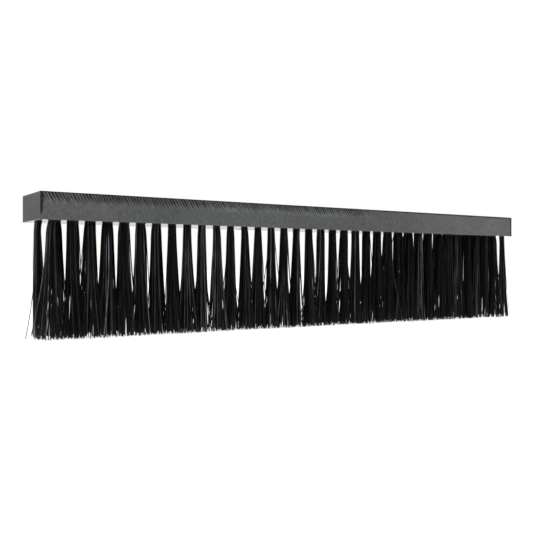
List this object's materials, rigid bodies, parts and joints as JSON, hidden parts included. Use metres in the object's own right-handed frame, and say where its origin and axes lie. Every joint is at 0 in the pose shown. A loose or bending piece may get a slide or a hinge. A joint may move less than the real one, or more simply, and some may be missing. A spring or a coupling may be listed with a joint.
{
  "type": "bar brush",
  "caption": "Straight plastic bar brush with two staggered rows of long bristle tufts stapled in drilled holes.",
  "frame": {"origin": "under the middle of the bar, on the plane of the bristle tips", "axes": "+X along the bar, -Y out of the front face that the tufts stand nearer to, +Z from the tips to the bar's top"},
  "size_m": [0.6036, 0.056, 0.127],
  "materials": {
    "bar_plastic": "sawn and planed dark grey rigid plastic, matt",
    "bristle": "black extruded plastic filament, satin",
    "staple_wire": "bright stainless flat wire"
  },
  "bodies": {
    "stock_body": {"bar": "bar_plastic", "front_staples": "staple_wire", "back_staples": "staple_wire"},
    "front_row": {"front_tufts_01": "bristle", "front_tufts_02": "bristle", "front_tufts_03": "bristle", "front_tufts_04": "bristle", "front_tufts_05": "bristle", "front_tufts_06": "bristle", "front_tufts_07": "bristle", "front_tufts_08": "bristle", "front_tufts_09": "bristle", "front_tufts_10": "bristle", "front_tufts_11": "bristle", "front_tufts_12": "bristle", "front_tufts_13": "bristle", "front_tufts_14": "bristle", "front_tufts_15": "bristle", "front_tufts_16": "bristle", "front_tufts_17": "bristle", "front_tufts_18": "bristle", "front_tufts_19": "bristle"},
    "back_row": {"back_tufts_01": "bristle", "back_tufts_02": "bristle", "back_tufts_03": "bristle", "back_tufts_04": "bristle", "back_tufts_05": "bristle", "back_tufts_06": "bristle", "back_tufts_07": "bristle", "back_tufts_08": "bristle", "back_tufts_09": "bristle", "back_tufts_10": "bristle", "back_tufts_11": "bristle", "back_tufts_12": "bristle", "back_tufts_13": "bristle", "back_tufts_14": "bristle", "back_tufts_15": "bristle", "back_tufts_16": "bristle", "back_tufts_17": "bristle", "back_tufts_18": "bristle", "back_tufts_19": "bristle"}
  },
  "joints": [
    {"name": "front_row_flex", "type": "hinge", "parent": "stock_body", "child": "front_row", "pos_m": [0, -0.0165, 0.103], "axis": [1, 0, 0], "range_deg": [-20, 20], "stiffness_Nm_per_rad": 2, "deforming": ["front_tufts_01", "front_tufts_02", "front_tufts_03", "front_tufts_04", "front_tufts_05", "front_tufts_06", "front_tufts_07", "front_tufts_08", "front_tufts_09", "front_tufts_10", "front_tufts_11", "front_tufts_12", "front_tufts_13", "front_tufts_14", "front_tufts_15", "front_tufts_16", "front_tufts_17", "front_tufts_18", "front_tufts_19"]},
    {"name": "back_row_flex", "type": "hinge", "parent": "stock_body", "child": "back_row", "pos_m": [0, -0.003, 0.103], "axis": [1, 0, 0], "range_deg": [-20, 20], "stiffness_Nm_per_rad": 2, "deforming": ["back_tufts_01", "back_tufts_02", "back_tufts_03", "back_tufts_04", "back_tufts_05", "back_tufts_06", "back_tufts_07", "back_tufts_08", "back_tufts_09", "back_tufts_10", "back_tufts_11", "back_tufts_12", "back_tufts_13", "back_tufts_14", "back_tufts_15", "back_tufts_16", "back_tufts_17", "back_tufts_18", "back_tufts_19"]}
  ],
  "couplings": [
    {"joint": "back_row_flex", "follows": "front_row_flex", "ratio": 1}
  ]
}
